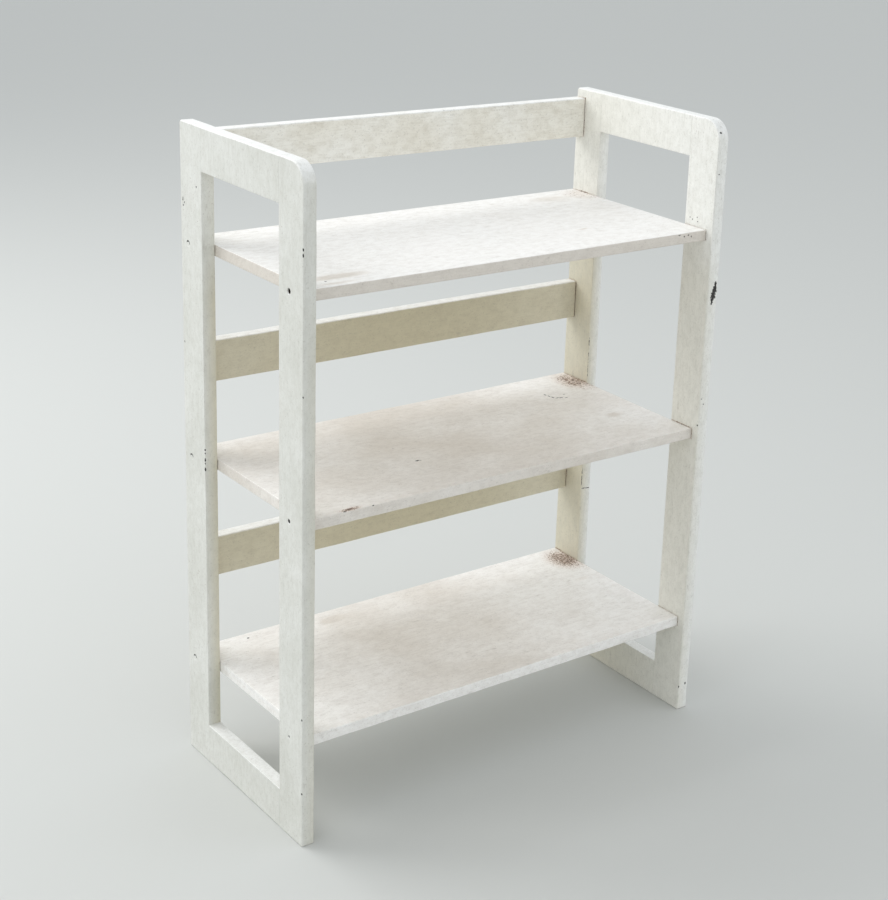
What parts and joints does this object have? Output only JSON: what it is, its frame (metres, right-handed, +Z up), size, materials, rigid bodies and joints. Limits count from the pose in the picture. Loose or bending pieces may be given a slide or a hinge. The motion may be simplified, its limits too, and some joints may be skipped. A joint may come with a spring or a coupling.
{
  "type": "ladder shelf",
  "caption": "Low open shelf of painted wood: boards between two ladder-like side frames, each level with a back rail above it.",
  "frame": {"origin": "on the floor, at the middle of the width and of the depth", "axes": "+Z up, +X to the right along the shelves seen from the front, +Y towards the back rails"},
  "size_m": [0.7, 0.324, 0.937],
  "materials": {
    "frame_paint": "worn off-white brushed paint",
    "rail_paint": "worn cream brushed paint",
    "shelf_paint": "dusty off-white brushed paint",
    "screw_steel": "dark steel with remains of paint",
    "dowel_beech": "bare beech"
  },
  "bodies": {
    "root": {"left_rear_post": "frame_paint", "left_front_post": "frame_paint", "left_frame_top_rail": "frame_paint", "left_frame_foot_rail": "frame_paint", "right_rear_post": "frame_paint", "right_front_post": "frame_paint", "right_frame_top_rail": "frame_paint", "right_frame_foot_rail": "frame_paint", "top_back_rail": "rail_paint", "middle_back_rail": "rail_paint", "bottom_back_rail": "rail_paint", "top_shelf": "shelf_paint", "middle_shelf": "shelf_paint", "bottom_shelf": "shelf_paint", "top_shelf_screws": "screw_steel", "middle_shelf_screws": "screw_steel", "bottom_shelf_screws": "screw_steel", "left_frame_top_dowels": "dowel_beech", "left_frame_foot_dowels": "dowel_beech", "right_frame_top_dowels": "dowel_beech", "right_frame_foot_dowels": "dowel_beech", "top_back_rail_dowels": "dowel_beech", "middle_back_rail_dowels": "dowel_beech", "bottom_back_rail_dowels": "dowel_beech"}
  },
  "joints": []
}
